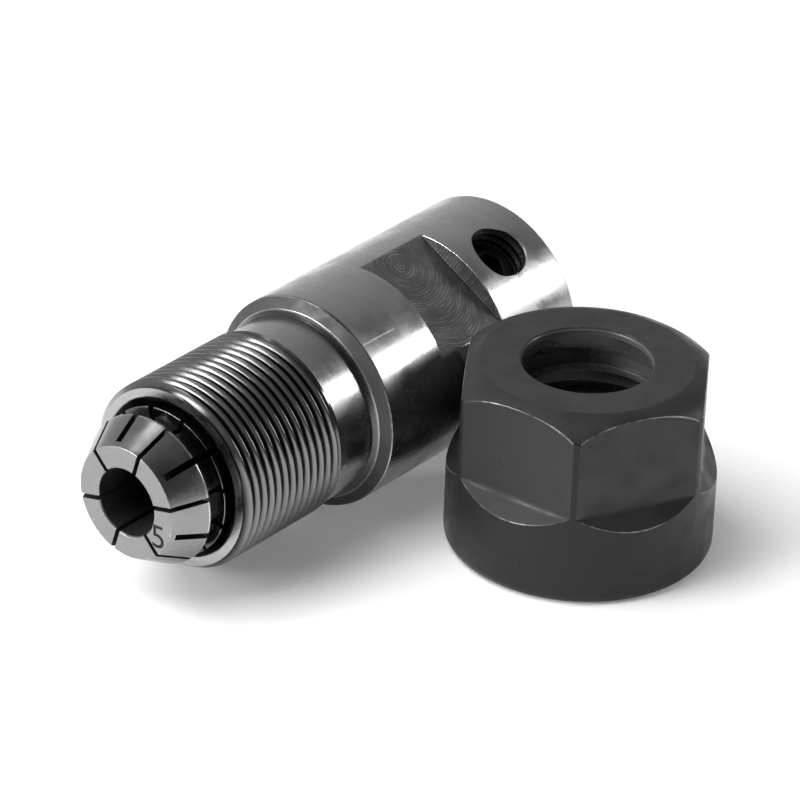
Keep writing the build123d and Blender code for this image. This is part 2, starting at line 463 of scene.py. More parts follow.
class ThreadTree(GeometryTree):
    """Makes a screw thread's surface round +Z, from z = 0 up.

    The rows of the surface follow the helix. Each turn has one row for each corner of the
    thread's form, and rows past an end fall on the end's ring, where they weld.
    """

    OFFSETS = (-0.127, -0.087, -0.04, 0.04, 0.087, 0.127, 0.399, 0.447, 0.553, 0.601)
    DEPTHS = (0.088, 0.029, 0.0, 0.0, 0.029, 0.088, 0.957, 1.0, 1.0, 0.957)
    NUMBERS = "crest depth pitch length start end start_fade end_fade side turn".split()
    CREST_WEAR = 0.3
    GRIME_SLOPE = 1.2

    def __init__(self) -> None:
        """Build the tree."""
        whole = dict.fromkeys(("columns", "rows"), "NodeSocketInt")
        numbers = dict.fromkeys(self.NUMBERS, "NodeSocketFloat")
        super().__init__("thread", {**whole, **numbers, "finish": "NodeSocketMaterial"})
        given = self.given
        length = given["length"]
        side = given["side"]
        grid = self.read("GeometryNodeMeshGrid", {
            "Size X": 1.0, "Size Y": 1.0,
            "Vertices X": given["columns"] + 1, "Vertices Y": given["rows"] + 1,
        }, "Mesh")
        across, up, _flat = self.split(self.read("GeometryNodeInputPosition"))
        round_share = across + 0.5
        row = self.math("ROUND", (up + 0.5) * given["rows"])
        kinds = len(self.OFFSETS)
        turn = self.math("FLOOR", (row + 0.5) / kinds)
        kind = row - turn * kinds
        depth_share = self.choose(kind, self.DEPTHS)
        free = (turn + self.choose(kind, self.OFFSETS) + (round_share - 1)) * given["pitch"]
        rise = self.math("MINIMUM", self.math("MAXIMUM", free, 0.0), length)
        left = length - rise
        fade = self.clamp(rise / given["start_fade"]) * self.clamp(left / given["end_fade"])
        reach = side * given["crest"] - given["depth"] * depth_share * fade
        chamfers = self.math("MINIMUM", side * given["start"] + rise, side * given["end"] + left)
        radius = self.math("MINIMUM", reach, chamfers) * side
        swing = given["turn"] + round_share * FULL_TURN
        spot = self.join(
            X=radius * self.math("COSINE", swing), Y=radius * self.math("SINE", swing), Z=rise,
        )
        # Crests are marked as worn; roots are marked below 0 and darkened as painted shade.
        wear_and_shade = (self.CREST_WEAR - depth_share * (self.CREST_WEAR + self.GRIME_SLOPE)) * fade
        marked = self.read(
            "GeometryNodeStoreNamedAttribute", {"Geometry": grid, "Name": WEAR_AND_SHADE, "Value": wear_and_shade},
            data_type="FLOAT", domain="POINT",
        )
        self.close(self.read("GeometryNodeSetPosition", {"Geometry": marked, "Position": spot}))

    def choose(self, index: Signal, values: Sequence[float]) -> Signal:
        """Return one of a few numbers by its place.

        Args:
            index: Which one.
            values: The numbers.

        Returns:
            The chosen number.
        """
        node = self.add("GeometryNodeIndexSwitch", data_type="FLOAT")
        while len(node.index_switch_items) < len(values):
            node.index_switch_items.new()
        for place, value in enumerate(values):
            node.inputs[place + 1].default_value = value
        self.put(node.inputs["Index"], index)
        return Signal(self, node.outputs[0])


class RingTree(GeometryTree):
    """Repeats one sector of a mesh round +Z and welds the copies into a ring."""

    def __init__(self) -> None:
        """Build the tree."""
        super().__init__("ring", {
            "sector": "NodeSocketGeometry", "count": "NodeSocketInt", "finish": "NodeSocketMaterial",
        })
        count = self.given["count"]
        turn = self.read("GeometryNodeInputIndex") * self.math("DIVIDE", FULL_TURN, count)
        self.close(self.read("GeometryNodeInstanceOnPoints", {
            "Points": self.read("GeometryNodeMeshLine", {"Count": count, "Offset": (0, 0, 0)}),
            "Instance": self.given["sector"],
            "Rotation": self.join(Z=turn),
        }))


@dataclass(frozen=True)
class Thread:
    """The sizes of one right-hand screw thread, in millimetres.

    Attributes:
        crest: The radius of the crests.
        depth: How deep the roots lie from the crests.
        pitch: The rise of one turn.
        length: The length of the threaded surface.
        start: The surface's radius at its start, past a 45 degree chamfer.
        end: The same at its end.
        inside: True for a thread in a hole.
        start_fade: The length over which the roots run out at the start.
        end_fade: The same at the end.
        columns: How many columns of faces go round.
        turn: The angle of the first column in degrees.
    """

    crest: float
    depth: float
    pitch: float
    length: float
    start: float
    end: float
    inside: bool = False
    start_fade: float = 0.1
    end_fade: float = 0.1
    columns: int = 96
    turn: float = 0.0

    def mesh(self, tree: ThreadTree, finish: bpy.types.Material) -> bpy.types.Mesh:
        """Return the thread's surface, round +Z from z = 0.

        Args:
            tree: The thread tree.
            finish: The material of its faces.

        Returns:
            A plain mesh.
        """
        rows = (math.ceil(self.length / self.pitch) + 2) * len(tree.OFFSETS)
        side = -1.0 if self.inside else 1.0
        turn = math.radians(self.turn)
        return tree.run({**asdict(self), "rows": rows, "side": side, "turn": turn, "finish": finish})


@dataclass(frozen=True)
class Trees:
    """The node trees and finishes that every piece is made with."""

    thread: ThreadTree
    ring: RingTree
    finishes: dict[Skin, bpy.types.Material]


class Workpiece:
    """One piece of the object while its surfaces are put together, in millimetres round +Z."""

    def __init__(self, trees: Trees) -> None:
        """Start an empty piece."""
        self.trees = trees
        self.work = bmesh.new()

    def take(self, mesh: bpy.types.Mesh, skin: Skin | None = None, lift: float = 0.0) -> None:
        """Add a mesh's faces.

        Args:
            mesh: The mesh. It is used up.
            skin: The finish of its faces, or None to go by its own marks.
            lift: How far it is moved along +Z.
        """
        known = len(self.work.faces)
        mesh.transform(Matrix.Translation((0, 0, lift)))
        self.work.from_mesh(mesh)
        self.work.faces.ensure_lookup_table()
        marks = self.work.faces.layers.int.get(SKIN)
        for face in self.work.faces[known:]:
            face.material_index = face[marks] if skin is None else skin
            face.smooth = True
        bpy.data.meshes.remove(mesh)

    def wind(self, thread: Thread, skin: Skin, lift: float = 0.0) -> None:
        """Add a thread's surface with one finish, moved along +Z."""
        self.take(thread.mesh(self.trees.thread, self.trees.finishes[skin]), skin, lift)

    def weld(self) -> None:
        """Join points that lie on each other and drop the faces that this closes up."""
        bmesh.ops.remove_doubles(self.work, verts=self.work.verts, dist=WELD)
        bmesh.ops.dissolve_degenerate(self.work, edges=self.work.edges, dist=WELD / 5)

    def bridge(self, along: float, skin: Skin) -> None:
        """Close the flat ring between the two open edges that lie at one place on the axis.

        Args:
            along: The place along the axis.
            skin: The finish of the new faces.
        """
        rim = {
            vert for edge in self.work.edges if edge.is_boundary for vert in edge.verts
            if abs(vert.co.z - along) < 10 * WELD
        }
        reach = [vert.co.xy.length for vert in rim]
        between = (min(reach) + max(reach)) / 2
        rings = [
            sorted((math.atan2(vert.co.y, vert.co.x), vert.index, vert) for vert in rim
                   if (vert.co.xy.length > between) is is_outer)
            for is_outer in (False, True)
        ]
        for ring in rings:
            ring.append((ring[0][0] + FULL_TURN, 0, ring[0][2]))
        spots = [0, 0]
        while any(spot < len(ring) - 1 for spot, ring in zip(spots, rings)):
            ahead = [
                ring[spot + 1][0] if spot < len(ring) - 1 else math.inf
                for spot, ring in zip(spots, rings)
            ]
            side = ahead.index(min(ahead))
            corners = [ring[spot][2] for spot, ring in zip(spots, rings)]
            spots[side] += 1
            face = self.work.faces.new((*corners, rings[side][spots[side]][2]))
            face.material_index = skin
            face.smooth = True

    def cap(self) -> None:
        """Close every open edge with a flat face."""
        rim = [edge for edge in self.work.edges if edge.is_boundary]
        bmesh.ops.holes_fill(self.work, edges=rim, sides=0)

    def mesh(self) -> bpy.types.Mesh:
        """Return the piece as a closed mesh with its faces pointing out."""
        bmesh.ops.recalc_face_normals(self.work, faces=self.work.faces)
        made = bpy.data.meshes.new("piece")
        self.work.to_mesh(made)
        self.work.free()
        for skin in Skin:
            made.materials.append(self.trees.finishes[skin])
        return made


def cut(mesh: bpy.types.Mesh, cutters: Sequence[bpy.types.Mesh]) -> bpy.types.Mesh:
    """Cut closed meshes out of a closed mesh.

    Args:
        mesh: The mesh to cut.
        cutters: The meshes that are taken away.

    Returns:
        What is left.
    """
    holder = add_object("cut", mesh)
    tools = [add_object("tool", cutter) for cutter in cutters]
    for tool in tools:
        modifier = holder.modifiers.new("cut", "BOOLEAN")
        modifier.operation = "DIFFERENCE"
        modifier.solver = "EXACT"
        modifier.object = tool
    made = flatten(holder)
    for tool in tools:
        bpy.data.objects.remove(tool)
    return made


def settle(mesh: bpy.types.Mesh, place: Matrix, node: str) -> bpy.types.Object:
    """Carry a finished mesh to the frame, shade it and tie it to its CAD node.

    Args:
        mesh: The finished mesh, in millimetres round +Z.
        place: Carries it to the frame.
        node: The CAD node that it replaces, which is also the body that it rides on.

    Returns:
        The piece, named after its node.
    """
    mesh.transform(place)
    mesh.set_sharp_from_angle(angle=math.radians(SHARP_ANGLE))
    numbers = [polygon.material_index for polygon in mesh.polygons]
    used = sorted(set(numbers))
    kept = [mesh.materials[index] for index in used]
    mesh.materials.clear()
    for finish in kept:
        mesh.materials.append(finish)
    mesh.polygons.foreach_set("material_index", [used.index(number) for number in numbers])
    name = f"{node}_dressed"
    holder = add_object(name, mesh)
    holder.modifiers.new("even", "WEIGHTED_NORMAL").keep_sharp = True
    shaded = flatten(holder)
    shaded.name = name
    piece = add_object(name, shaded)
    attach(piece, node)
    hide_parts(node)
    LOG.info("%s: %d faces, %s", name, len(shaded.polygons), [finish.name for finish in kept])
    return piece


def placing(origin: Vector, first: Vector, axis: Vector, scale: float = MM) -> Matrix:
    """Return the matrix that carries the origin, +X, +Z and the size of a millimetre to these."""
    turned = Matrix((first, axis.cross(first), axis)).transposed().to_4x4()
    return Matrix.Translation(origin) @ turned @ Matrix.Scale(scale, 4)


def box_mm(node: str) -> tuple[Vector, Vector]:
    """Return the lowest and the highest corner of a CAD node, in millimetres."""
    low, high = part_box(node)
    return Vector(low) / MM, Vector(high) / MM


def on_spindle(along: float, angle: float, out: float) -> Vector:
    """Return a point in the frame from its place along the spindle, its angle and its radius."""
    turn = math.radians(angle)
    return Vector((-along, -out * math.cos(turn), out * math.sin(turn)))


EAST, UP = Vector((1, 0, 0)), Vector((0, 0, 1))
CROSS_WAY = on_spindle(0, CROSS_ANGLE, 1)
SPIN = placing(Vector(), Vector((0, -1, 0)), Vector((-1, 0, 0)))


# ---- the object -----------------------------------------------------------------------


@dataclass(frozen=True)
class SpindleBody:
    """The turned body: motor bore, wrench flats, screw holes, neck, thread and socket.

    Lengths are in millimetres from the rear face, and radii from the spindle's axis.
    """

    length: float
    radius: float
    edge_chamfer: float = 0.25
    neck_radius: float = 6.8
    shoulder: float = 21.15
    shoulder_length: float = 0.7
    shoulder_fillet: float = 0.45
    thread_start: float = 25.3
    thread_radius: float = 7.0
    thread_depth: float = 0.46
    thread_pitch: float = 0.75
    nose_chamfer: float = 0.4
    mouth_radius: float = 5.95
    mouth_chamfer: float = 0.5
    socket_slope: float = math.tan(math.radians(8))
    socket_front_radius: float = 5.384
    bore_length: float = 20.6
    bore_radius: float = 2.5
    bore_chamfer: float = 0.3
    flat_near: float = 7.9
    flat_far: float = 14.75
    calm_edge: float = 0.2
    columns: int = 256
    flat_columns: int = 24

    def section(self, angle: float) -> np.ndarray:
        """Return the body's outline at one angle, from the nose inside and back outside.

        Args:
            angle: The angle round the spindle in degrees.

        Returns:
            The outline's points.
        """
        half = math.radians(self.flat_columns * 360 / self.columns)
        away = math.radians(abs((angle - CROSS_ANGLE + 90) % 180 - 90))
        is_flat = away < half + TINY
        depth = self.radius * math.cos(half) / math.cos(away) if is_flat else self.radius
        floor = Skin.MILLED if is_flat else Skin.TURNED
        socket = self.length - self.mouth_chamfer
        socket_end = self.socket_front_radius - (socket - self.bore_length) * self.socket_slope
        return outline([
            Corner(self.length, self.thread_radius - self.nose_chamfer),
            # The socket and the bore get a dark tone that is painted shade.
            Corner(self.length, self.mouth_radius, 0.06, Skin.SOCKET),
            Corner(socket, self.socket_front_radius, 0.1, Skin.SOCKET),
            Corner(self.bore_length, socket_end, 0.1, Skin.SOCKET),
            Corner(self.bore_length, self.bore_radius, 0.1, Skin.SOCKET),
            Corner(self.bore_chamfer, self.bore_radius, 0.06, Skin.TURNED),
            Corner(0, self.bore_radius + self.bore_chamfer, 0.06),
            Corner(0, self.radius - self.edge_chamfer, 0.08),
            Corner(self.edge_chamfer, self.radius, 0.1),
            Corner(self.flat_near - self.calm_edge, self.radius),
            Corner(self.flat_near, self.radius, 0.06, floor),
            # The flat's inner corner and the shoulder's fillet are concave, so their marks darken them as
            # painted shade.
            Corner(self.flat_near, depth, 0.1, floor, wear_and_shade=0.6),
            Corner(self.flat_far, depth, 0.04, Skin.TURNED, wear_and_shade=0.0),
            Corner(self.flat_far, self.radius, 0.04, wear_and_shade=0.7),
            Corner(self.flat_far + self.calm_edge, self.radius),
            # The shoulder's cone gets the same dark tone, painted shade that dims its reflection.
            Corner(self.shoulder, self.radius, 0.12, Skin.SOCKET, wear_and_shade=0.8),
            Corner(self.shoulder + self.shoulder_length, self.neck_radius, self.shoulder_fillet, wear_and_shade=0.9),
            Corner(self.thread_start, self.neck_radius),
        ])

    def hole_cutter(self, hole: "ScrewHole", side: int, trees: Trees) -> bpy.types.Mesh:
        """Return the tapped hole's solid, in the body's own millimetres.

        Args:
            hole: The hole's sizes.
            side: 1 for the upper hole and -1 for the lower.
            trees: The node trees and finishes.

        Returns:
            A closed mesh.
        """
        work = Workpiece(trees)
        work.wind(hole.thread(), Skin.TAPPED)
        work.weld()
        work.cap()
        made = work.mesh()
        angle = math.radians(CROSS_ANGLE)
        outward = Vector((math.cos(angle), math.sin(angle), 0)) * side
        origin = Vector((0, 0, hole.position)) + outward * hole.start
        made.transform(placing(origin, -UP, outward, 1.0))
        return made

    def build(self, hole: "ScrewHole", trees: Trees) -> bpy.types.Object:
        """Build the body.

        Args:
            hole: The screw holes' sizes.
            trees: The node trees and finishes.

        Returns:
            The piece.
        """
        step = 360 / self.columns
        shell = Shell()
        shell.lattice([CROSS_ANGLE + column * step for column in range(self.columns)], self.section)
        thread = Thread(
            self.thread_radius, self.thread_depth, self.thread_pitch, self.length - self.thread_start,
            self.neck_radius, self.thread_radius - self.nose_chamfer,
            start_fade=self.thread_pitch, columns=self.columns, turn=CROSS_ANGLE,
        )
        work = Workpiece(trees)
        work.take(shell.mesh())
        work.wind(thread, Skin.THREAD, self.thread_start)
        work.weld()
        solid = cut(work.mesh(), [self.hole_cutter(hole, side, trees) for side in (1, -1)])
        return settle(solid, SPIN, "spindle_body")


@dataclass(frozen=True)
class ScrewHole:
    """A tapped cross hole for a set screw, in millimetres."""

    position: float = 4.3
    radius: float = 2.05
    thread_depth: float = 0.24
    pitch: float = 0.7
    start: float = 0.8
    stop: float = 8.8
    mouth_radius: float = 2.12

    def thread(self) -> Thread:
        """Return the hole's thread."""
        return Thread(
            self.radius, self.thread_depth, self.pitch, self.stop - self.start,
            self.radius, self.mouth_radius + self.stop - BODY_RADIUS, inside=True,
        )


@dataclass(frozen=True)
class SetScrew:
    """A hexagon-socket set screw with a cup point, in millimetres from its tip."""

    length: float
    radius: float
    tip: float = 2.6
    chamfer: float = 0.3
    thread_depth: float = 0.36
    pitch: float = 0.7
    key_apothem: float = 1.0
    key_depth: float = 1.6
    key_chamfer: float = 0.06
    drill_radius: float = 0.9
    drill_drop: float = 0.25
    cup_radius: float = 0.9
    cup_depth: float = 0.5
    columns: int = 96

    def section(self, angle: float) -> np.ndarray:
        """Return the screw's outline at one angle, from the rim of its top down the key's socket.

        Args:
            angle: The angle round the screw in degrees.

        Returns:
            The outline's points.
        """
        key = self.key_apothem / math.cos(math.radians(angle % 60 - 30))
        floor = self.length - self.key_depth
        return outline([
            Corner(self.length, self.radius - self.chamfer, 0, Skin.SCREW),
            Corner(self.length, key + self.key_chamfer, 0.05, Skin.SCREW),
            Corner(self.length - self.key_chamfer, key, 0.03, Skin.SCREW),
            Corner(floor, key, 0.05, Skin.SCREW),
            Corner(floor, self.drill_radius, 0.05, Skin.SCREW),
            Corner(floor - self.drill_drop, 0, 0, Skin.SCREW),
        ])

    def point(self, _angle: float) -> np.ndarray:
        """Return the outline of the cup point, the same at every angle."""
        return outline([
            Corner(self.cup_depth, 0, 0, Skin.SCREW),
            Corner(self.cup_depth, self.cup_radius - self.cup_depth, 0.05, Skin.SCREW),
            Corner(0, self.cup_radius, 0.08, Skin.SCREW),
            Corner(0, self.radius - self.chamfer, 0, Skin.SCREW),
        ])

    def build(self, node: str, side: int, trees: Trees) -> bpy.types.Object:
        """Build the screw.

        Args:
            node: The CAD node that it stands for.
            side: 1 for the upper screw and -1 for the lower.
            trees: The node trees and finishes.

        Returns:
            The piece.
        """
        angles = [column * 360 / self.columns for column in range(self.columns)]
        shell = Shell()
        shell.lattice(angles, self.section)
        shell.lattice(angles, self.point)
        end = self.radius - self.chamfer
        thread = Thread(
            self.radius, self.thread_depth, self.pitch, self.length, end, end, columns=self.columns,
        )
        work = Workpiece(trees)
        work.take(shell.mesh())
        work.wind(thread, Skin.SCREW)
        work.weld()
        outward = CROSS_WAY * side
        origin = (Vector((-ScrewHole.position, 0, 0)) + outward * self.tip) * MM
        return settle(work.mesh(), placing(origin, EAST, outward), node)


@dataclass(frozen=True)
class Saw:
    """A slit that a round saw leaves, in millimetres from the spindle's rear face.

    Attributes:
        width: The slit's width.
        stop: Where the saw's rim leaves the outer surface.
        stop_radius: The outer surface's radius there.
        front: True for a slit from the front and False for one from the rear.
        radius: The saw's radius.
        height: The distance of the saw's centre from the axis.
    """

    width: float
    stop: float
    stop_radius: float
    front: bool
    radius: float = 15.0
    height: float = 15.5

    def rim(self, out: float) -> float:
        """Return where the saw's rim lies along the axis, at a radius of the collet."""
        reach = math.sqrt(self.radius**2 - (self.height - self.stop_radius) ** 2)
        here = math.sqrt(self.radius**2 - (self.height - out) ** 2)
        return self.stop + (reach - here if self.front else here - reach)

    def half_angle(self, out: float) -> float:
        """Return half of the slit's angle at a radius, in degrees."""
        return math.degrees(math.asin(self.width / 2 / out))


@dataclass(frozen=True)
class Collet:
    """The slit spring collet, in millimetres from the spindle's rear face."""

    front: float
    length: float
    bore_radius: float = 2.5
    bore_chamfer: float = 0.12
    relief_radius: float = 2.75
    relief_length: float = 5.0
    face_radius: float = 4.17
    nose_length: float = 2.4
    flange_radius: float = 5.5
    flange_land: float = 0.15
    groove_radius: float = 4.75
    groove_width: float = 1.41
    rear_chamfer: float = 0.2
    slope: float = math.tan(math.radians(8))
    first_slit: float = 13.75
    slits: int = 6
    slit_width: float = 0.34
    slit_web: float = 2.6
    slot_width: float = 0.5
    slot_web: float = 0.38
    finger_columns: int = 14
    rim_share: float = 0.012
    land_share: float = 0.08
    rim_steps: int = 10
    digit: str = "5"
    digit_turn: float = -27.0
    digit_lean: float = -3.0
    digit_radius: float = 3.32
    digit_size: Pair = (1.05, 1.75)
    digit_depth: float = 0.06

    def taper(self, along: float) -> float:
        """Return the radius of the long taper."""
        start = self.front - self.nose_length - self.flange_land - self.groove_width
        return self.flange_radius - (start - along) * self.slope

    def slit(self) -> Saw:
        """Return the saw of the front slits."""
        stop = self.front - self.length + self.slit_web
        return Saw(self.slit_width, stop, self.taper(stop), front=True)

    def slot(self) -> Saw:
        """Return the saw of the rear slots."""
        slope = (self.flange_radius - self.face_radius) / self.nose_length
        radius = self.face_radius + slope * self.slot_web
        return Saw(self.slot_width, self.front - self.slot_web, radius, front=False)

    def stretches(self) -> tuple[np.ndarray, np.ndarray, np.ndarray, np.ndarray]:
        """Return the closed outline in four stretches, split where the saws' rims cross it.

        Returns:
            The rear end, the outside, the nose and the bore, each ending where the next starts.
        """
        rear = self.front - self.length
        relief = rear + self.relief_length
        flange = self.front - self.nose_length
        groove = flange - self.flange_land
        taper = groove - self.groove_width
        slit = self.slit()
        slot = self.slot()
        steel = Skin.GROUND
        # The bore and its relief get the dark finish, which there is painted shade.
        dark = Skin.DARK_AND_SHADE
        # The taper and groove behind the flange get a dark tone that is painted shade.
        rear_shade = Skin.REAR_SHADE
        low = Corner(slit.rim(self.relief_radius), self.relief_radius, 0, dark)
        high = Corner(slit.stop, slit.stop_radius, 0, rear_shade)
        nose = Corner(slot.stop, slot.stop_radius, 0, steel)
        bore = Corner(slot.rim(self.bore_radius), self.bore_radius, 0, dark)
        return (
            outline([
                low,
                Corner(rear, self.relief_radius, 0.08, steel),
                Corner(rear, self.taper(rear) - self.rear_chamfer, 0.05, steel),
                Corner(rear + self.rear_chamfer, self.taper(rear + self.rear_chamfer), 0.05, steel),
                high,
            ]),
            outline([
                high,
                Corner(taper, self.flange_radius, 0.05, rear_shade),
                Corner(taper, self.groove_radius, 0.08, rear_shade),
                Corner(groove, self.groove_radius, 0.08, rear_shade),
                Corner(groove, self.flange_radius, 0.04, steel),
                Corner(flange, self.flange_radius, 0.05, steel),
                nose,
            ]),
            outline([
                nose,
                Corner(self.front, self.face_radius, 0.06, steel, wear_and_shade=0.6),
                Corner(self.front, self.bore_radius + self.bore_chamfer, 0.04, steel, wear_and_shade=0.4),
                Corner(self.front - self.bore_chamfer, self.bore_radius, 0.04, dark, wear_and_shade=0.4),
                bore,
            ]),
            outline([
                bore,
                Corner(relief, self.bore_radius, 0.04, dark),
                Corner(relief, self.relief_radius, 0.04, dark),
                low,
            ]),
        )

    def rim_line(self, saw: Saw, start: float, end: float) -> np.ndarray:
        """Return the outline of a saw's rim in the collet, from one radius to another."""
        radii = np.linspace(start, end, self.rim_steps + 1)
        return np.array([(saw.rim(out), out, 0.0, Skin.DARK_AND_SHADE) for out in radii])

    def sector(self) -> bpy.types.Mesh:
        """Return one sixth of the collet, from the middle of a front slit to the next one."""
        step = 360 / self.slits
        slit = self.slit()
        slot = self.slot()
        middle = self.first_slit + step / 2
        rear, outside, nose, bore = self.stretches()
        whole = np.concatenate((rear[:-1], outside[:-1], nose[:-1], bore[:-1]))
        # The finger's edges are marked fully worn; their brighter tone is partly wear and partly a painted
        # highlight.
        worn = whole.copy()
        worn[:, 2] = 1.0
        slit_rim = self.rim_line(slit, self.relief_radius, slit.stop_radius)
        slot_rim = self.rim_line(slot, slot.stop_radius, self.bore_radius)
        rim, land = self.rim_share, self.land_share
        shares = (0.0, rim, *np.linspace(land, 1 - land, self.finger_columns), 1 - rim, 1.0)

        def section(share: float) -> np.ndarray:
            """Return a finger's outline, worn along the finger's two edges, where the brighter worn tone is
            partly a painted highlight.
            """
            return worn if share in (0.0, 1.0) else whole

        shell = Shell()
        for sign in (-1, 1):
            slit_middle = middle + sign * step / 2

            def from_slit(share: float, out: float) -> float:
                """Return a column's angle between the front slit and the rear slot."""
                start = slit_middle - sign * slit.half_angle(out)
                end = middle + sign * slot.half_angle(out)
                return start + (end - start) * share

            def in_slit(share: float, out: float) -> float:
                """Return a column's angle between the slit's middle and its wall."""
                return slit_middle - sign * share * slit.half_angle(out)

            def in_slot(share: float, out: float) -> float:
                """Return a column's angle between the slot's middle and its wall."""
                return middle + sign * share * slot.half_angle(out)

            shell.lattice(shares, section, from_slit, ring=False, loop=True)
            rear_web = np.concatenate((rear, slit_rim[::-1][1:-1]))
            shell.lattice((0.0, 1.0), lambda _share: rear_web, in_slit, ring=False, loop=True)
            front_web = np.concatenate((nose, slot_rim[::-1][1:-1]))
            shell.lattice((0.0, 1.0), lambda _share: front_web, in_slot, ring=False, loop=True)
            open_slit = np.concatenate((slit_rim[:-1], outside[:-1], nose[:-1], bore[:-1]))
            shell.wall(1.0, open_slit, in_slit)
            open_slot = np.concatenate((slot_rim[:-1], bore[:-1], rear[:-1], outside[:-1]))
            shell.wall(1.0, open_slot, in_slot)
        return shell.mesh()

    def digit_cutter(self, trees: Trees) -> bpy.types.Mesh:
        """Return the solid of the engraved digit, which tells the bore's size in millimetres.

        Args:
            trees: The node trees and finishes.

        Returns:
            A closed mesh.
        """
        letters = bpy.data.curves.new("digit", "FONT")
        letters.body = self.digit
        letters.extrude = self.digit_depth
        mesh = flatten(add_object("digit", letters))
        spots = np.array([vert.co for vert in mesh.vertices])
        low, high = spots.min(axis=0), spots.max(axis=0)
        mesh.transform(Matrix.Translation((*(-(low + high) / 2)[:2], 0)))
        width, height = self.digit_size
        mesh.transform(Matrix.Diagonal((width / (high - low)[0], height / (high - low)[1], 1, 1)))
        work = Workpiece(trees)
        work.take(mesh, Skin.DARK_AND_SHADE)
        work.weld()
        made = work.mesh()
        turn = math.radians(self.digit_turn)
        outward = Vector((math.cos(turn), math.sin(turn), 0))
        origin = outward * self.digit_radius + Vector((0, 0, self.front))
        lean = math.radians(self.digit_lean)
        reading = Vector((math.cos(lean), -math.sin(lean), 0))
        made.transform(placing(origin, reading, UP, 1.0))
        return made

    def build(self, trees: Trees) -> bpy.types.Object:
        """Build the collet.

        Args:
            trees: The node trees and finishes.

        Returns:
            The piece.
        """
        finish = trees.finishes[Skin.GROUND]
        work = Workpiece(trees)
        work.take(trees.ring.run({"count": self.slits, "finish": finish}, self.sector()))
        work.weld()
        solid = cut(work.mesh(), [self.digit_cutter(trees)])
        return settle(solid, SPIN, "collet")


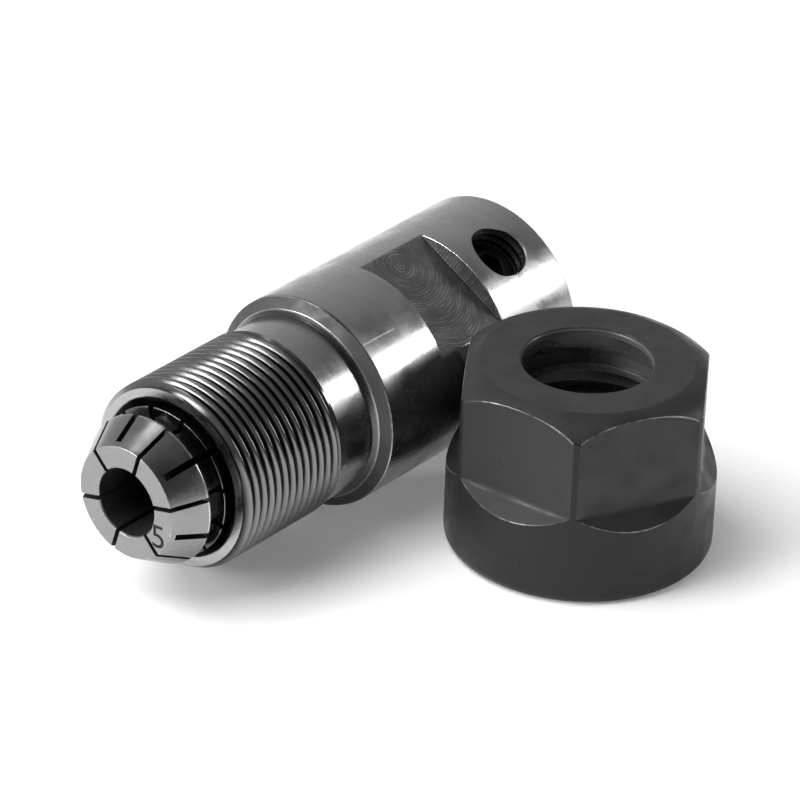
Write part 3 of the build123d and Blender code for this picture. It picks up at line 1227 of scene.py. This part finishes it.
@dataclass(frozen=True)
class ClampingNut:
    """The clamping nut: a hexagon with a round collar, in millimetres above the bench."""

    height: float
    radius: float
    half_across: float = 8.375
    turn: float = 3.5
    flat_start: float = 6.88
    base_fillet: float = 0.9
    crown_radius: float = 7.5
    crown_middle: Pair = (8.62, 0.5)
    crown_drop: float = 1.4
    bore_radius: float = 4.6
    bore_chamfer: float = 0.15
    lip: float = 0.6
    seat_radius: float = 5.65
    seat_slope: float = math.tan(math.radians(30))
    recess_radius: float = 5.75
    rib_top: float = 3.35
    rib_thickness: float = 0.5
    rib_radius: float = 5.1
    rib_offset: float = 0.35
    throat_radius: float = 6.0
    throat_end: float = 5.0
    relief_radius: float = 7.15
    relief_width: float = 1.2
    thread_radius: float = 6.6
    thread_depth: float = 0.43
    thread_pitch: float = 0.75
    thread_columns: int = 192
    thread_gap: float = 0.2
    mouth_chamfer: float = 0.5
    flat_columns: int = 24
    flat_margin: float = 0.35
    corner_columns: int = 3
    crown_steps: int = 8

    def crown(self, out: float) -> float:
        """Return the height of the crown's arc above a radius."""
        drops = ((self.crown_radius, 0), self.crown_middle, (self.radius, self.crown_drop))
        centre, size = circle_through(*(Vector((spot, self.height - drop)) for spot, drop in drops))
        return centre.y + math.sqrt(size**2 - (out - centre.x) ** 2)

    def columns(self) -> list[float]:
        """Return the angles of the columns in degrees: the flats' and the corners' between them."""
        edge = math.degrees(math.acos(self.half_across / self.radius))
        flat = np.linspace(-edge, edge, self.flat_columns + 1)
        rim = edge - self.flat_margin
        flat = np.insert(flat, (1, len(flat) - 1), (-rim, rim))
        corner = np.linspace(edge, 60 - edge, self.corner_columns + 1)[1:-1]
        return [self.turn + side * 60 + float(away) for side in range(6) for away in (*flat, *corner)]

    def section(self, angle: float) -> np.ndarray:
        """Return the nut's outline at one angle, from the bench up and down inside.

        Args:
            angle: The angle in degrees.

        Returns:
            The outline's points.
        """
        away = math.radians(abs((angle - self.turn + 30) % 60 - 30))
        edge = math.acos(self.half_across / self.radius)
        is_flat = away < edge - TINY
        flat = self.half_across / math.cos(away) if is_flat else self.radius
        ledge = self.flat_start + self.half_across - self.radius * math.cos(away)
        ledge = ledge if is_flat else self.flat_start
        swing = math.radians(angle)
        side = self.rib_offset * math.sin(swing)
        rib = self.rib_offset * math.cos(swing) + math.sqrt(self.rib_radius**2 - side**2)
        plain = Skin.OXIDE
        turned = Skin.OXIDE_ROUND
        arc = [
            Corner(self.crown(out), out, 0, plain)
            for out in np.linspace(flat, self.crown_radius, self.crown_steps + 1)[1:-1]
        ]
        top = self.height
        seat = top - self.lip - (self.seat_radius - self.bore_radius) / self.seat_slope
        rib_bottom = top - self.rib_top - self.rib_thickness
        relief_end = top - self.throat_end - self.relief_width
        inside = Skin.OXIDE_INSIDE
        return outline([
            Corner(0, self.thread_radius + self.mouth_chamfer + self.thread_gap, 0, turned),
            Corner(0, self.radius, self.base_fillet, turned, 8, 0.0),
            Corner(ledge, self.radius, 0.06, plain, wear_and_shade=0.64),
            Corner(self.flat_start, flat, 0.35, plain if is_flat else turned, wear_and_shade=0.0),
            # On the corner strips the crown's edge is marked below 0, so it is darkened as painted shade
            # instead of worn.
            Corner(self.crown(flat), flat, 0.1, plain, wear_and_shade=0.68 if is_flat else -1.0),
            *arc,
            Corner(top, self.crown_radius, 0.1, plain, wear_and_shade=0.2),
            Corner(top, self.bore_radius + self.bore_chamfer, 0.06, plain, wear_and_shade=0.45),
            Corner(top - self.bore_chamfer, self.bore_radius, 0.06, inside, wear_and_shade=0.3),
            Corner(top - self.lip, self.bore_radius, 0.05, inside),
            Corner(seat, self.seat_radius, 0.03, inside),
            Corner(seat, self.recess_radius, 0.03, inside),
            Corner(top - self.rib_top, self.recess_radius, 0.1, inside),
            Corner(top - self.rib_top, rib, 0.05, inside),
            Corner(rib_bottom, rib, 0.05, inside),
            Corner(rib_bottom, self.throat_radius, 0.1, inside),
            Corner(top - self.throat_end, self.throat_radius, 0.05, inside),
            Corner(top - self.throat_end, self.relief_radius, 0.1, inside),
            Corner(relief_end, self.relief_radius, 0.1, inside),
            Corner(relief_end, self.thread_radius + self.thread_gap, 0, inside),
        ])

    def build(self, middle: Vector, trees: Trees) -> bpy.types.Object:
        """Build the nut.

        Args:
            middle: The point of its axis on the bench, in metres.
            trees: The node trees and finishes.

        Returns:
            The piece.
        """
        length = self.height - self.throat_end - self.relief_width
        shell = Shell()
        shell.lattice(self.columns(), self.section)
        thread = Thread(
            self.thread_radius, self.thread_depth, self.thread_pitch, length,
            self.thread_radius + self.mouth_chamfer, self.thread_radius, inside=True,
            columns=self.thread_columns, start_fade=0.05, end_fade=self.thread_pitch / 2,
        )
        work = Workpiece(trees)
        work.take(shell.mesh())
        work.wind(thread, Skin.OXIDE_INSIDE)
        work.weld()
        work.bridge(0, Skin.OXIDE)
        work.bridge(length, Skin.OXIDE_INSIDE)
        return settle(work.mesh(), placing(middle, EAST, UP), "clamping_nut")


def circle_through(first: Vector, middle: Vector, last: Vector) -> tuple[Vector, float]:
    """Return the circle through three points.

    Args:
        first: The first point.
        middle: The second one.
        last: The third one.

    Returns:
        The centre and the radius.
    """
    ends = (middle, last)
    squares = [(end.length_squared - first.length_squared) / 2 for end in ends]
    centre = Matrix([end - first for end in ends]).inverted() @ Vector(squares)
    return centre, (first - centre).length


# ---- finishes -------------------------------------------------------------------------


class Marks(Enum):
    """The kinds of tool marks that a finish can have."""

    TURNED = "rings round the axis"
    MILLED = "the crossing arcs of a milling cutter"
    FINE = "a fine even grain"


@dataclass(frozen=True)
class Axis:
    """A line that tool marks run round, by its middle in metres and its direction."""

    middle: Vector
    way: Vector


@dataclass(frozen=True)
class Metal:
    """One procedural metal finish.

    Attributes:
        name: The material's name.
        axis: The line that the tool marks run round.
        tone: The reflectance, the same for every colour.
        rough: The roughness.
        marks: The kind of tool marks.
        pitch: The distance between marks, in millimetres.
        relief: How strongly the marks bend the light.
        bands: How far the tone differs between marks.
        streak: The anisotropy.
        worn_tone: The reflectance of worn edges.
        worn_rough: The roughness of worn edges.
        metallic: 1 for bare metal and less for a coating.
        stain: How far the tone differs between patches.
        specular: The shine of a coating.
        rim: The distance from the spindle's axis past which alone the metal is bare, or 0. Within it a dark
            tone stands as painted shade.
        scratches: The ends of scratches on the body, each a place along it and an angle.
    """

    name: str
    axis: Axis
    tone: float
    rough: float
    marks: Marks = Marks.TURNED
    pitch: float = 0.1
    relief: float = 0.2
    bands: float = 0.12
    streak: float = 0.5
    worn_tone: float = 0.75
    worn_rough: float = 0.25
    metallic: float = 1.0
    stain: float = 0.12
    specular: float = 0.5
    rim: float = 0.0
    scratches: tuple[tuple[Pair, Pair], ...] = ()


class MetalShader(Shader):
    """The node tree of one metal finish. Its scales tell how often noise changes in a millimetre."""

    RADIAL_SHARE = 1.37
    LINE_SCALE = 0.12
    LINE_SHARES = (0.6, 0.4)
    WIDE_PITCH = 9
    PATCH_SCALE = 0.45
    GRAIN_SCALE = 9.0
    GRAIN_HEIGHT = 0.25
    HEIGHT = 0.02
    ROUGH_SWING = 0.5
    CHIP_SCALE = 1.7
    BROAD_SCALE = 0.16
    GRAIN_WEAR, CHIP_WEAR, PATCH_WEAR, BROAD_WEAR = 0.3, 0.5, 0.9, 0.35
    BARE_FROM, BARE_TO = 0.55, 0.95
    RIM_BLUR = 0.05
    # How far painted shade darkens concave corners and thread roots.
    GRIME_DEPTH = 0.8
    RIDGE_BEND = 1.8
    RIDGE_POWER = 2.5
    BREAK_SCALE = 0.8
    BREAK_SLOPE, BREAK_DROP = 5.0, 2.1
    HAIR_SCALE, HAIR_TURNS, HAIR_HEIGHT = 0.3, 4.0, 0.5
    SCRATCH_WANDER = 0.1
    SCRATCH_OUTER, SCRATCH_INNER = 0.07, 0.03

    def __init__(self, metal: Metal) -> None:
        """Make the material of a finish."""
        super().__init__(metal.name)
        self.metal = metal
        moved = self.vector("SUBTRACT", self.place, metal.axis.middle)
        self.local = self.vector("SCALE", moved, Scale=1 / MM)
        self.patches = self.noise(self.local, self.PATCH_SCALE, 6)
        self.grain = self.noise(self.local, self.GRAIN_SCALE, 3)
        # Above 0 on edges worn bare, below 0 in corners and thread roots that get painted shade.
        self.edge = self.read("ShaderNodeAttribute", output="Fac", attribute_name=WEAR_AND_SHADE)

    def build(self) -> bpy.types.Material:
        """Return the finish as a material."""
        metal = self.metal
        across, around = self.phase()
        lines = self.lines(across)
        tone = self.swing(lines, metal.bands) * self.swing(self.patches, metal.stain) * metal.tone
        # Painted shade: the tone is darkened in concave corners and thread roots.
        corner_shade = self.clamp(self.edge * -1.0)
        worn = self.worn()
        height = self.grain * self.GRAIN_HEIGHT + lines
        bump = {"Strength": metal.relief, "Distance": self.HEIGHT * MM, "Height": height}
        return self.close(self.mix(worn, tone * (1.0 - corner_shade * self.GRIME_DEPTH), metal.worn_tone), {
            "Roughness": self.mix(
                worn, self.swing(self.patches, self.ROUGH_SWING) * metal.rough, metal.worn_rough
            ),
            "Metallic": self.mix(worn, metal.metallic, 1.0),
            "Specular IOR Level": metal.specular,
            "Anisotropic": metal.streak,
            "Tangent": around,
            "Normal": self.read("ShaderNodeBump", bump),
        })

    def phase(self) -> tuple[Signal, Signal]:
        """Work out how the marks run.

        Returns:
            The coordinate that they follow in millimetres, and the direction round the axis.
        """
        way = self.metal.axis.way
        along = self.vector("DOT_PRODUCT", self.local, way)
        outward = self.vector("CROSS_PRODUCT", way, self.local)
        around = self.vector("NORMALIZE", outward)
        if self.metal.marks is not Marks.MILLED:
            return self.vector("LENGTH", outward) * self.RADIAL_SHARE + along, around
        offset = along - CUTTER_MIDDLE[0]
        drop = CUTTER_MIDDLE[1] - self.vector("DOT_PRODUCT", self.local, on_spindle(0, CROSS_ANGLE + 90, 1))
        left = self.math("MAXIMUM", CUTTER_RADIUS**2 - offset * offset, 0.0)
        bow = drop - self.math("SQRT", left)
        reach = self.vector("LENGTH", self.join(X=offset, Y=drop))
        return self.mix(self.math("GREATER_THAN", bow, 0.0), reach, bow + CUTTER_RADIUS), around

    def lines(self, across: Signal) -> Signal:
        """Return the height of the tool marks.

        Args:
            across: The coordinate that they follow.

        Returns:
            The height, from 0 to about 1.
        """
        if self.metal.marks is Marks.FINE:
            return self.grain
        if self.metal.marks is Marks.MILLED:
            return self.ridges(across)
        pitch = self.metal.pitch
        fine = self.noise(self.local, self.LINE_SCALE, 2, across / pitch)
        wide = self.noise(self.local, self.LINE_SCALE, 2, across / (pitch * self.WIDE_PITCH))
        return fine * self.LINE_SHARES[0] + wide * self.LINE_SHARES[1]

    def ridges(self, across: Signal) -> Signal:
        """Return the height of the thin, broken ridges that a milling cutter leaves.

        Args:
            across: The coordinate that they follow.

        Returns:
            The height, from 0 to about 1.
        """
        turns = self.patches * self.RIDGE_BEND + across / self.metal.pitch
        wave = self.math("COSINE", turns * FULL_TURN)
        sharp = self.math("POWER", wave * 0.5 + 0.5, self.RIDGE_POWER)
        breaks = self.noise(self.local, self.BREAK_SCALE, 2, turns * self.BREAK_SCALE)
        hairs = self.noise(self.local, self.HAIR_SCALE, 2, turns * self.HAIR_TURNS)
        kept = self.clamp(breaks * self.BREAK_SLOPE - self.BREAK_DROP)
        return hairs * self.HAIR_HEIGHT + sharp * kept

    def worn(self) -> Signal:
        """Return how bare the metal is: on edges, or only past the rim, and in the scratches."""
        chips = self.noise(self.local, self.CHIP_SCALE, 5)
        broad = self.noise(self.local, self.BROAD_SCALE, 1)
        bare = self.swing(self.grain, self.GRAIN_WEAR) + self.swing(chips, self.CHIP_WEAR)
        bare = (bare + self.swing(self.patches, self.PATCH_WEAR)) * self.swing(broad, self.BROAD_WEAR)
        worn = self.remap(self.edge * (bare / 3.0), self.BARE_FROM, self.BARE_TO)
        rim = self.metal.rim
        if rim:
            out = self.vector("LENGTH", self.vector("MULTIPLY", self.local, (0, 1, 1)))
            worn = self.remap(out, rim, rim + self.RIM_BLUR)
        for ends in self.metal.scratches:
            worn = self.math("MAXIMUM", worn, self.scratch(*ends))
        return worn

    def scratch(self, first: Pair, last: Pair) -> Signal:
        """Return how far a place lies in a straight, ragged scratch on the body.

        Args:
            first: Its first end, as a place along the body and an angle.
            last: Its other end.

        Returns:
            1 in the scratch and 0 beside it.
        """
        start, end = on_spindle(*first, BODY_RADIUS), on_spindle(*last, BODY_RADIUS)
        way = end - start
        past = self.vector("SUBTRACT", self.local, start)
        share = self.clamp(self.vector("DOT_PRODUCT", past, way) / way.length_squared)
        nearest = self.vector("SCALE", way, Scale=share)
        away = self.vector("LENGTH", self.vector("SUBTRACT", past, nearest))
        away = (self.grain - 0.5) * self.SCRATCH_WANDER + away
        return self.remap(away, self.SCRATCH_OUTER, self.SCRATCH_INNER)

    def swing(self, noise: Signal, share: float) -> Signal:
        """Return a factor that swings round 1 with a noise, as far as the share says."""
        return (noise - 0.5) * (4 * share) + 1.0

    def mix(self, share: Signal, first: Value, second: Value) -> Signal:
        """Return the mix of two numbers, with the second one's share."""
        inputs = {"Factor": share, "A": first, "B": second}
        return self.read("ShaderNodeMix", inputs, data_type="FLOAT")


def build_finishes(nut_middle: Vector) -> dict[Skin, bpy.types.Material]:
    """Build every finish of the object.

    Args:
        nut_middle: The middle of the nut's foot, in metres.

    Returns:
        The material of each finish.
    """
    spindle = Axis(Vector(), -EAST)
    nut = Axis(nut_middle, UP)
    cross = Axis(EAST * (-ScrewHole.position * MM), CROSS_WAY)
    metals = {
        Skin.TURNED: Metal(
            "steel_turned", spindle, 0.4, 0.27, pitch=0.07, relief=0.35, stain=0.02, worn_tone=0.7,
            worn_rough=0.4, scratches=SCRATCHES,
        ),
        Skin.THREAD: Metal(
            "steel_thread", spindle, 0.2, 0.17, pitch=0.05, relief=0.15, worn_tone=0.6, stain=0.06,
        ),
        # Painted shade: dark socket, bore and shoulder cone.
        Skin.SOCKET: Metal("steel_socket_shade", spindle, 0.09, 0.48, pitch=0.12, relief=0.4, worn_tone=0.5),
        Skin.MILLED: Metal(
            "steel_milled", spindle, 0.3, 0.42, Marks.MILLED, pitch=0.26, relief=0.42, bands=0.18,
            streak=0.0, stain=0.1, worn_tone=0.8,
        ),
        # Painted shade inside the tapped holes; past the rim the mouth takes the worn tone.
        Skin.TAPPED: Metal(
            "steel_tapped_shade", cross, 0.05, 0.48, Marks.FINE, relief=0.05, streak=0.0, worn_tone=0.5,
            rim=7.88,
        ),
        Skin.GROUND: Metal(
            "steel_ground", spindle, 0.285, 0.27, pitch=0.04, relief=0.12, bands=0.06, stain=0.03,
        ),
        # Painted shade: the collet's taper and groove behind the flange.
        Skin.REAR_SHADE: Metal("steel_rear_shade", spindle, 0.09, 0.25, pitch=0.04, bands=0.06, worn_tone=0.3),
        # Real dark scale on slit walls and the digit; painted shade in the collet's bore.
        Skin.DARK_AND_SHADE: Metal(
            "steel_dark_and_shade", spindle, 0.025, 0.6, Marks.FINE, streak=0.0, worn_tone=0.04, worn_rough=0.6,
            metallic=0.3, specular=0.3,
        ),
        Skin.OXIDE: Metal(
            "oxide_plain", nut, 0.02, 0.45, Marks.FINE, relief=0.25, bands=0.08, streak=0.0,
            worn_tone=0.5, worn_rough=0.35, metallic=0.0, specular=0.4,
        ),
        Skin.OXIDE_ROUND: Metal(
            "oxide_round", nut, 0.011, 0.36, pitch=0.1, relief=0.12, bands=0.06, streak=0.0,
            worn_tone=0.5, worn_rough=0.35, metallic=0.0, specular=0.3,
        ),
        Skin.OXIDE_INSIDE: Metal(
            "oxide_turned", nut, 0.11, 0.3, pitch=0.08, relief=0.25, streak=0.0,
            worn_tone=0.2, worn_rough=0.3, metallic=0.2, specular=0.8,
        ),
        Skin.SCREW: Metal(
            "steel_screw", cross, 0.02, 0.4, Marks.FINE, streak=0.0, worn_tone=0.05,
            worn_rough=0.5, metallic=0.6,
        ),
    }
    return {skin: MetalShader(metal).build() for skin, metal in metals.items()}


# ---- studio ---------------------------------------------------------------------------


@dataclass(frozen=True)
class Lamp:
    """A soft rectangular lamp.

    Attributes:
        name: The lamp's name.
        way: The direction that it stands in from the target.
        distance: How far away it stands, in metres.
        size: Its width and height in metres.
        power: Its power in watts.
        mirrored: True if shiny surfaces show it.
    """

    name: str
    way: Direction
    distance: float
    size: Pair
    power: float
    mirrored: bool = True

    def build(self, target: Vector) -> None:
        """Put the lamp in the scene, facing the target."""
        light = bpy.data.lights.new(self.name, "AREA")
        light.shape = "RECTANGLE"
        light.size, light.size_y = self.size
        light.energy = self.power
        lamp = add_object(self.name, light)
        lamp.visible_glossy = self.mirrored
        way = Vector(self.way).normalized()
        turned = way.to_track_quat("Z", "Y").to_matrix().to_4x4()
        lamp.matrix_world = Matrix.Translation(target + way * self.distance) @ turned


@dataclass(frozen=True)
class Camera:
    """The camera, by the point that it looks at and its angles.

    Attributes:
        target: The point in the middle of the picture, in millimetres.
        azimuth: The camera's direction from the target, from -Y towards -X, in degrees.
        elevation: Its angle above the target in degrees.
        roll: The camera's roll in degrees.
        distance: Its distance from the target in millimetres.
        lens: Its focal length on the sensor, in millimetres.
        sensor: The sensor's width in millimetres.
        reach: The nearest and the farthest distance that it sees, in metres.
    """

    target: Direction = (-7.046, 2.633, -6.850)
    azimuth: float = -51.6908
    elevation: float = 29.6337
    roll: float = 2.0547
    distance: float = 346.999
    lens: float = 211.4926
    sensor: float = 36.0
    reach: Pair = (0.01, 20.0)

    def build(self) -> None:
        """Put the camera in the scene and make it the scene's own."""
        azimuth = math.radians(self.azimuth)
        elevation = math.radians(self.elevation)
        level = math.cos(elevation)
        back = Vector((math.sin(azimuth) * level, -math.cos(azimuth) * level, math.sin(elevation)))
        right = UP.cross(back).normalized()
        data = bpy.data.cameras.new("camera")
        data.lens = self.lens
        data.sensor_width = self.sensor
        data.clip_start, data.clip_end = self.reach
        camera = add_object("camera", data)
        origin = (Vector(self.target) + back * self.distance) * MM
        roll = Matrix.Rotation(math.radians(self.roll), 4, "Z")
        camera.matrix_world = placing(origin, right, back, 1.0) @ roll
        bpy.context.scene.camera = camera


@dataclass(frozen=True)
class Studio:
    """A pale bench top, a soft sky and soft lamps that face the spindle. Sizes are in metres."""

    bench: float
    bench_size: float = 3.0
    bench_tone: float = 0.9
    bench_rough: float = 0.8
    bench_specular: float = 0.1
    bench_glow: float = 0.15
    mottle: float = 0.02
    mottle_scale: float = 60.0
    sky_low: float = 0.7
    sky_high: float = 0.3
    sky_front: float = 0.22
    sky_turn: Pair = (-0.5, 0.4)
    target: Direction = (-0.02, -0.008, 0)
    lamps: tuple[Lamp, ...] = (
        Lamp("key", (-0.45, 0.45, 1.0), 0.9, (0.8, 0.8), 9.0, mirrored=False),
        Lamp("strip", (0.69, -0.6, 0.38), 0.6, (0.09, 0.2), 0.65),
        Lamp("side", (-0.82, 0.45, 0.36), 0.6, (0.3, 0.14), 2.1),
        Lamp("top", (-0.1, 0.4, 0.91), 0.8, (0.2, 0.2), 0.3),
        Lamp("crest", (-0.5, 0.45, 0.74), 0.8, (0.25, 0.15), 0.3),
    )

    def build(self) -> None:
        """Build the bench top, the sky and the lamps."""
        half = self.bench_size / 2
        mesh = bpy.data.meshes.new("bench")
        spots = [(-half, -half), (half, -half), (half, half), (-half, half)]
        mesh.from_pydata([(x, y, self.bench) for x, y in spots], [], [(0, 1, 2, 3)])
        mesh.materials.append(self.bench_material())
        add_object("bench", mesh)
        self.sky()
        for lamp in self.lamps:
            lamp.build(Vector(self.target))

    def bench_material(self) -> bpy.types.Material:
        """Return the bench top's matt, faintly mottled material."""
        graph = Shader("bench")
        mottle = graph.noise(graph.place, self.mottle_scale, 4)
        camera, glossy, through = (
            graph.read("ShaderNodeLightPath", output=f"Is {kind} Ray")
            for kind in ("Camera", "Glossy", "Transmission")
        )
        return graph.close((mottle - 0.5) * self.mottle + self.bench_tone, {
            "Roughness": self.bench_rough,
            "Specular IOR Level": self.bench_specular,
            "Emission Color": (1.0, 1.0, 1.0, 1.0),
            "Emission Strength": graph.clamp(camera + glossy + through) * self.bench_glow,
        })

    def sky(self) -> None:
        """Build the sky: pale near the horizon, dimmer overhead and in front."""
        world = bpy.data.worlds.new("sky")
        world.use_nodes = True
        bpy.context.scene.world = world
        graph = Graph(world.node_tree)
        _right, back, rise = graph.split(graph.read("ShaderNodeTexCoord", output="Generated"))
        tone = graph.remap(rise, 0.0, 1.0, self.sky_low, self.sky_high)
        tone = tone * graph.remap(back, *self.sky_turn, self.sky_front)
        graph.paint(world.node_tree.nodes["Background"].inputs["Color"], tone)


def main() -> None:
    """Build the object's pieces in order, then the studio and the camera."""
    logging.basicConfig(level=logging.INFO, format="%(name)s: %(message)s")
    bpy.context.scene.view_settings.view_transform = "Standard"
    body_low, body_high = box_mm("spindle_body")
    collet_low, collet_high = box_mm("collet")
    nut_low, nut_high = box_mm("clamping_nut")
    nut_middle = Vector(((nut_low.x + nut_high.x) / 2, (nut_low.y + nut_high.y) / 2, nut_low.z)) * MM
    trees = Trees(ThreadTree(), RingTree(), build_finishes(nut_middle))
    SpindleBody(body_high.x - body_low.x, (body_high.z - body_low.z) / 2).build(ScrewHole(), trees)
    screw = SetScrew(SCREW_LENGTH, SCREW_RADIUS)
    screw.build("set_screw_upper", 1, trees)
    screw.build("set_screw_lower", -1, trees)
    Collet(-collet_low.x, collet_high.x - collet_low.x).build(trees)
    ClampingNut(nut_high.z - nut_low.z, (nut_high.x - nut_low.x) / 2).build(nut_middle, trees)
    Studio(body_low.z * MM).build()
    Camera().build()


if __name__ == "__main__":
    main()
